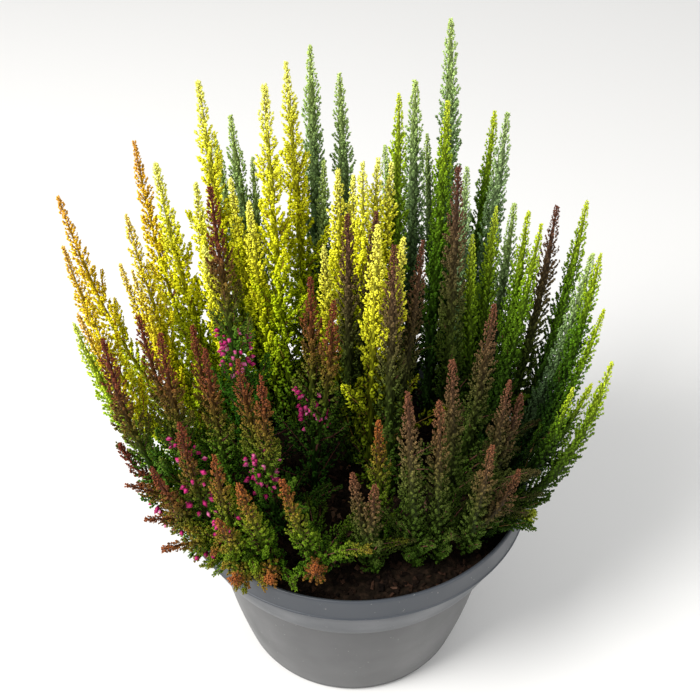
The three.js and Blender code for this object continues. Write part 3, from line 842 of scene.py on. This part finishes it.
def pot_profile():
    """The bowl's section, up the outside and down the inside, from axis to axis."""
    profile = [(0, 0.6), (66, 0.6), (67.5, 0.0)]
    profile += arc((FOOT_RADIUS - FOOT_ROUND, FOOT_ROUND), FOOT_ROUND, -90, 0)
    # a fine groove above the foot
    profile += [(body_radius(z) - depth, z) for z, depth in ((5.0, 0), (5.4, 0.5), (5.8, 0.5), (6.2, 0))]
    profile += [(body_radius(z), z) for z in np.linspace(12, 97.4, 14)]
    # the ledge and its rounded edge
    profile += [(BODY_TOP_RADIUS + 0.6, LEDGE_HEIGHT - 0.5), (BODY_TOP_RADIUS + 1.6, LEDGE_HEIGHT)]
    profile += arc((LEDGE_RADIUS - 1.1, LEDGE_HEIGHT + 1.1), 1.1, -90, -15, 4)
    profile += [(LEDGE_RADIUS + (RIDGE_RADIUS - LEDGE_RADIUS) * u,
                 LEDGE_HEIGHT + (RIDGE_HEIGHT - LEDGE_HEIGHT) * u) for u in np.linspace(0.08, 0.94, 6)]
    # the ridge under the rim band, then the band
    profile += [(RIDGE_RADIUS + out, RIDGE_HEIGHT + up) for out, up in (
        (-0.6, -0.8), (0.2, -0.4), (0.5, 0.1), (0.3, 0.7), (-0.1, 1.0),
        (-0.25, 3.0), (-0.5, 8.0), (-0.65, 12.5))]
    profile += arc((RIDGE_RADIUS - 1.9, RIM_TOP - RIM_ROUND), RIM_ROUND, 0, 180, 8)
    profile += [(112.0, 142), (112.0, 133), (99.6, 102), (96, 101.4), (92.4, LEDGE_HEIGHT)]
    profile += [(body_radius(z) - WALL, z) for z in (75, 50, 25)]
    profile += [(FOOT_RADIUS - WALL, FLOOR_THICK), (0, FLOOR_THICK)]
    return profile


def plastic_material():
    """Grey moulded plastic, darker on the flared band and tinted blue there as a painted reflection of the
    sky, with a slight cloudiness, specks and a fine grain.
    """
    material, tree, shader = new_material("grey_plastic", 0.42)
    cloudy = noise_node(tree, 9, 5)
    body = ramp_node(tree, cloudy, [(0.3, (0.062, 0.062, 0.064)), (0.7, (0.078, 0.078, 0.078))])
    # the flared band: darker, with a bluish cast that is a painted reflection of the sky
    band_with_painted_sky = ramp_node(tree, cloudy, [(0.3, (0.034, 0.039, 0.048)), (0.7, (0.046, 0.052, 0.062))])
    place = tree.nodes.new("ShaderNodeTexCoord")
    split = tree.nodes.new("ShaderNodeSeparateXYZ")
    tree.links.new(place.outputs["Object"], split.inputs["Vector"])
    above = math_node(tree, "SUBTRACT", split.outputs["Z"], (LEDGE_HEIGHT - 3) * MM)
    painted_sky_band_mask = math_node(tree, "MULTIPLY", above, 100.0, clamp=True)
    grey_and_painted_sky = mix_colors(tree, "MIX", painted_sky_band_mask, body, band_with_painted_sky)
    specks = noise_node(tree, 420, 2)
    dust = math_node(tree, "GREATER_THAN", specks, 0.735)
    colour = mix_colors(tree, "MIX", dust, grey_and_painted_sky, (0.2, 0.2, 0.19))
    tree.links.new(colour, shader.inputs["Base Color"])
    tree.links.new(ramp_node(tree, noise_node(tree, 35, 4), [(0.3, (0.36,) * 3), (0.7, (0.50,) * 3)]),
                   shader.inputs["Roughness"])
    bump_node(tree, shader, noise_node(tree, 1400, 2), 0.15, 0.0001)
    return material


def make_pot():
    profile = pot_profile()
    rings = np.array([ring_points(radius, height, 144) for radius, height in profile[1:-1]])
    pot = closed_rings("nursery_bowl", rings, profile[0][1], profile[-1][1], plastic_material())
    pot.data.set_sharp_from_angle(angle=math.radians(40))
    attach(pot, "root")
    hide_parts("pot")


def soil_height(x, y):
    """Height of the uneven soil surface."""
    edge = np.maximum(0, np.hypot(x, y) - 90) / 20
    bumps = np.sin(x * 0.11 + 1) * np.cos(y * 0.13) + 0.5 * np.sin(x * 0.23 - y * 0.19)
    return SOIL_TOP + 1.2 * bumps - 3 * edge


def make_soil(rng):
    """Dark potting soil with fine crumbs and chips of bark lying in it."""
    material, tree, shader = new_material("potting_soil", 0.95)
    fine = noise_node(tree, 260, 6)
    tree.links.new(ramp_node(tree, fine, [(0.3, (0.004, 0.0025, 0.0015)), (0.5, (0.011, 0.007, 0.004)),
                                          (0.72, (0.032, 0.018, 0.011))]), shader.inputs["Base Color"])
    bump_node(tree, shader, fine, 0.9, 0.002)
    shader.inputs["Specular IOR Level"].default_value = 0.08
    rings, segments = 44, 150
    radii = np.linspace(0, SOIL_RADIUS, rings)[1:]
    angles = np.arange(segments) * 2 * math.pi / segments
    x, y = radii[:, None] * np.cos(angles), radii[:, None] * np.sin(angles)
    z = soil_height(x, y) + rng.normal(0, GRAIN, x.shape)
    top = np.stack([x, y, z], axis=-1)[::-1]
    wall = [ring_points(73.5, SOIL_FOOT, segments), ring_points(92.0, 101.7, segments)]
    soil = closed_rings("soil_bed", np.concatenate([wall, top]), SOIL_FOOT, SOIL_TOP, material)
    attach(soil, "root")
    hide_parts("soil")
    make_chips(rng)


CHIP_CORNERS = np.array([[-1, -1, -1], [1, -1, -1], [1, 1, -1], [-1, 1, -1],
                         [-1, -1, 1], [1, -1, 1], [1, 1, 1], [-1, 1, 1]]) * 0.5
CHIP_FACES = np.array([[0, 3, 2, 1], [4, 5, 6, 7], [0, 1, 5, 4], [1, 2, 6, 5], [2, 3, 7, 6], [3, 0, 4, 7]])


def make_chips(rng):
    """Crumbs of soil and flat chips of bark on the surface, each an uneven block."""
    material, tree, shader = new_material("bark_crumbs", 0.9)
    pick = attribute(tree, "shade")
    colour = ramp_node(tree, pick, [(0, (0.005, 0.003, 0.002)), (0.6, (0.018, 0.010, 0.006)),
                                    (0.85, (0.075, 0.036, 0.021)), (1, (0.19, 0.11, 0.07))])
    streaks = noise_node(tree, 900, 3)
    tree.links.new(mix_colors(tree, "MULTIPLY", 0.6, colour, streaks), shader.inputs["Base Color"])
    bump_node(tree, shader, streaks, 0.6, 0.0005)
    shader.inputs["Specular IOR Level"].default_value = 0.08
    count = CHIPS
    radius = 108.5 * np.sqrt(rng.uniform(0, 1, count))
    turn = rng.uniform(0, 2 * math.pi, count)
    x, y = radius * np.cos(turn), radius * np.sin(turn)
    bark = rng.uniform(0, 1, count) < BARK_SHARE
    length = np.where(bark, rng.uniform(3, 7, count), rng.uniform(1.4, 3.4, count))
    width = np.where(bark, rng.uniform(1.5, 3.2, count), rng.uniform(1.2, 2.6, count))
    thick = np.where(bark, rng.uniform(0.8, 1.8, count), rng.uniform(1.0, 2.2, count))
    near_wall = radius > 102
    length = np.where(near_wall, np.minimum(length, 3.0), length)
    corners = CHIP_CORNERS * np.stack([length, width, thick], axis=-1)[:, None]
    corners = corners * rng.uniform(0.6, 1.15, corners.shape)
    yaw, pitch, roll = rng.uniform(0, 6.3, count), rng.normal(0, 0.35, count), rng.normal(0, 0.35, count)
    turned_corners = rotated(corners, yaw, pitch, roll)
    middle = np.stack([x, y, soil_height(x, y) + thick * 0.3], axis=-1)
    vertices = (turned_corners + middle[:, None]).reshape(-1, 3)
    faces = (np.arange(count)[:, None, None] * 8 + CHIP_FACES).reshape(-1, 4)
    chips = mesh_object("bark_crumbs", vertices * MM, faces, material)
    chips.data.shade_flat()
    layer = chips.data.attributes.new("shade", "FLOAT", "POINT")
    picks = rng.uniform(0, 0.75, count) + np.where(bark, 0.25, 0.0)
    layer.data.foreach_set("value", np.repeat(picks, 8).astype(np.float32))
    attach(chips, "root")


def rotated(corners, yaw, pitch, roll):
    """Groups of corners turned by roll about X, then pitch about Y, then yaw about Z."""
    x, y, z = (corners[..., i] for i in range(3))
    for angle, first, second in ((roll, "y", "z"), (pitch, "z", "x"), (yaw, "x", "y")):
        parts = {"x": x, "y": y, "z": z}
        a, b = parts[first], parts[second]
        cos, sin = np.cos(angle)[:, None], np.sin(angle)[:, None]
        parts[first], parts[second] = a * cos - b * sin, a * sin + b * cos
        x, y, z = parts["x"], parts["y"], parts["z"]
    return np.stack([x, y, z], axis=-1)


CAMERA_PLACE = (-0.003, -0.470, 0.6157)     # metres
CAMERA_PITCH, CAMERA_ROLL = 0.67493, -0.010
SENSOR = 36
PHOTO_WIDTH, FOCAL_LENGTH = 700, 1000       # pixels


def make_camera():
    """The camera at the photo's place, a little turned about its view line."""
    pitch, roll = CAMERA_PITCH, CAMERA_ROLL
    forward = Vector((0, math.cos(pitch), -math.sin(pitch)))
    level_up = Vector((0, math.sin(pitch), math.cos(pitch)))
    right = Vector((1, 0, 0)) * math.cos(roll) - level_up * math.sin(roll)
    up = Vector((1, 0, 0)) * math.sin(roll) + level_up * math.cos(roll)
    data = bpy.data.cameras.new("camera")
    data.sensor_width = SENSOR
    data.lens = SENSOR * FOCAL_LENGTH / PHOTO_WIDTH
    camera = bpy.data.objects.new("camera", data)
    rotation = Matrix((right, up, -forward)).transposed().to_4x4()
    camera.matrix_world = Matrix.Translation(CAMERA_PLACE) @ rotation
    bpy.context.scene.collection.objects.link(camera)
    bpy.context.scene.camera = camera


def area_light(name, place, target, size, power, color):
    data = bpy.data.lights.new(name, "AREA")
    data.shape = "DISK"
    data.size = size
    data.energy = power
    data.color = color
    light = bpy.data.objects.new(name, data)
    light.location = place
    light.rotation_euler = (Vector(target) - Vector(place)).to_track_quat("-Z", "Y").to_euler()
    bpy.context.scene.collection.objects.link(light)


def make_studio():
    """Pale floor, pale surroundings and soft lights, the stronger one from the left."""
    material, _, _ = new_material("floor", 0.6, (0.80, 0.79, 0.775))
    half = 6000.0
    corners = np.array([[-half, -half, -0.5], [half, -half, -0.5], [half, half, -0.5], [-half, half, -0.5]])
    floor = mesh_object("floor", corners * MM, np.array([[0, 1, 2, 3]]), material)
    world = bpy.data.worlds.new("studio")
    world.use_nodes = True
    surroundings = world.node_tree.nodes["Background"].inputs
    surroundings["Color"].default_value = (0.985, 0.995, 1.0, 1)
    surroundings["Strength"].default_value = 0.72
    bpy.context.scene.world = world
    area_light("key", (-1.3, -0.9, 1.7), (0, 0, 0.2), 1.0, 62, (1.0, 0.995, 0.98))
    area_light("fill", (1.6, -1.2, 1.2), (0, 0, 0.2), 1.2, 9, (0.96, 0.98, 1.0))
    bpy.context.scene.view_settings.view_transform = "Standard"


def main():
    rng = np.random.default_rng(SEED)
    make_camera()
    make_studio()
    make_pot()
    make_soil(rng)
    for kind, specs in SPRAYS.items():
        material = foliage_material(kind)
        for number, spec in enumerate(specs, 1):
            make_spray(kind, number, spec, material, rng)


main()
